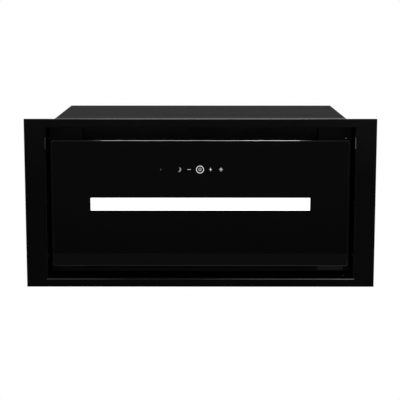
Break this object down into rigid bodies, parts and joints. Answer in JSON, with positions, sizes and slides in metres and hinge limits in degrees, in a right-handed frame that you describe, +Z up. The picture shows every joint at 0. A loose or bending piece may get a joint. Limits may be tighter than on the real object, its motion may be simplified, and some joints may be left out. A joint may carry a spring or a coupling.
{
  "type": "built-in cooker hood",
  "caption": "Rectangular built-in cooker hood: flat trim frame, hinged glass panel with a light strip and touch keys, filter, blower and round duct spigot.",
  "frame": {"origin": "centre of the flange's upper face, which meets the cabinet board from below", "axes": "+Z up, as installed; -Y towards the cook; +X along the hood's width"},
  "size_m": [0.6, 0.2924, 0.418],
  "materials": {
    "trim_black": "satin black powder coat",
    "body_black": "satin black powder coat",
    "glass_black": "gloss black back-printed glass",
    "opal": "opal diffuser",
    "aluminium": "mill finish",
    "black_anodised": "black anodised",
    "black_steel": "black oxide",
    "zinc_steel": "zinc plated",
    "bright_steel": "bright nickel",
    "spring_steel": "blued spring steel",
    "black_plastic": "fine texture",
    "grey_plastic": "fine texture",
    "board": "solder mask",
    "white_plastic": "satin",
    "magnet": "ferrite",
    "rubber_black": "matte",
    "led": "phosphor"
  },
  "bodies": {
    "casing": {"trim_frame": "trim_black", "front_wall": "body_black", "rear_wall": "body_black", "left_wall": "body_black", "right_wall": "body_black", "frame_rivets": "black_steel", "wall_screws": "black_steel", "top_cover": "body_black", "side_clip_left": "spring_steel", "side_clip_right": "spring_steel", "intake_tray": "body_black", "hinge_bracket_left": "zinc_steel", "hinge_bracket_right": "zinc_steel", "catch_posts": "black_plastic", "catch_magnets": "magnet", "centring_studs": "black_steel", "scroll_left": "grey_plastic", "scroll_right": "grey_plastic", "motor": "zinc_steel", "bearing_outer": "bright_steel", "bearing_inner": "bright_steel", "motor_spider": "zinc_steel", "rubber_mounts": "rubber_black", "duct_spigot": "black_plastic", "spigot_screws": "zinc_steel", "damper_spindle": "bright_steel", "control_box": "black_plastic", "control_lid": "black_plastic", "lid_screws": "zinc_steel", "control_board": "board", "board_relays": "black_plastic", "terminal_block": "white_plastic", "run_capacitor": "white_plastic", "cable_gland": "black_plastic"},
    "panel": {"glass_pane": "glass_black", "light_diffuser": "opal", "panel_pan": "zinc_steel", "light_channel": "aluminium", "led_board": "board", "led_chips": "led", "touch_board": "board", "hinge_arm_left": "zinc_steel", "hinge_arm_right": "zinc_steel", "hinge_pins": "bright_steel", "strike_plates": "zinc_steel"},
    "filter": {"filter_frame": "black_anodised", "filter_mesh": "black_anodised", "filter_layers": "black_anodised", "latch_guide": "black_plastic"},
    "latch": {"filter_latch": "black_plastic"},
    "wheel": {"blower_wheel": "black_plastic", "motor_shaft": "bright_steel"},
    "flap_front": {"flap_front": "grey_plastic"},
    "flap_rear": {"flap_rear": "grey_plastic"}
  },
  "joints": [
    {"name": "panel_hinge", "type": "hinge", "parent": "casing", "child": "panel", "pos_m": [0, 0.09375, 0.018], "axis": [1, 0, 0], "range_deg": [0, 88]},
    {"name": "filter_tilt", "type": "hinge", "parent": "casing", "child": "filter", "pos_m": [0, 0.11525, 0.0595], "axis": [1, 0, 0], "range_deg": [0, 7]},
    {"name": "latch_slide", "type": "slide", "parent": "filter", "child": "latch", "axis": [0, 1, 0], "range_m": [0, 0.004], "stiffness_N_per_m": 250, "springref_m": -0.004},
    {"name": "wheel_spin", "type": "hinge", "parent": "casing", "child": "wheel", "pos_m": [0, 0, 0.205], "axis": [1, 0, 0], "continuous": true},
    {"name": "front_flap_swing", "type": "hinge", "parent": "casing", "child": "flap_front", "pos_m": [0, 0, 0.384], "axis": [-1, 0, 0], "range_deg": [0, 75]},
    {"name": "rear_flap_swing", "type": "hinge", "parent": "casing", "child": "flap_rear", "pos_m": [0, 0, 0.384], "axis": [1, 0, 0], "range_deg": [0, 75]}
  ]
}
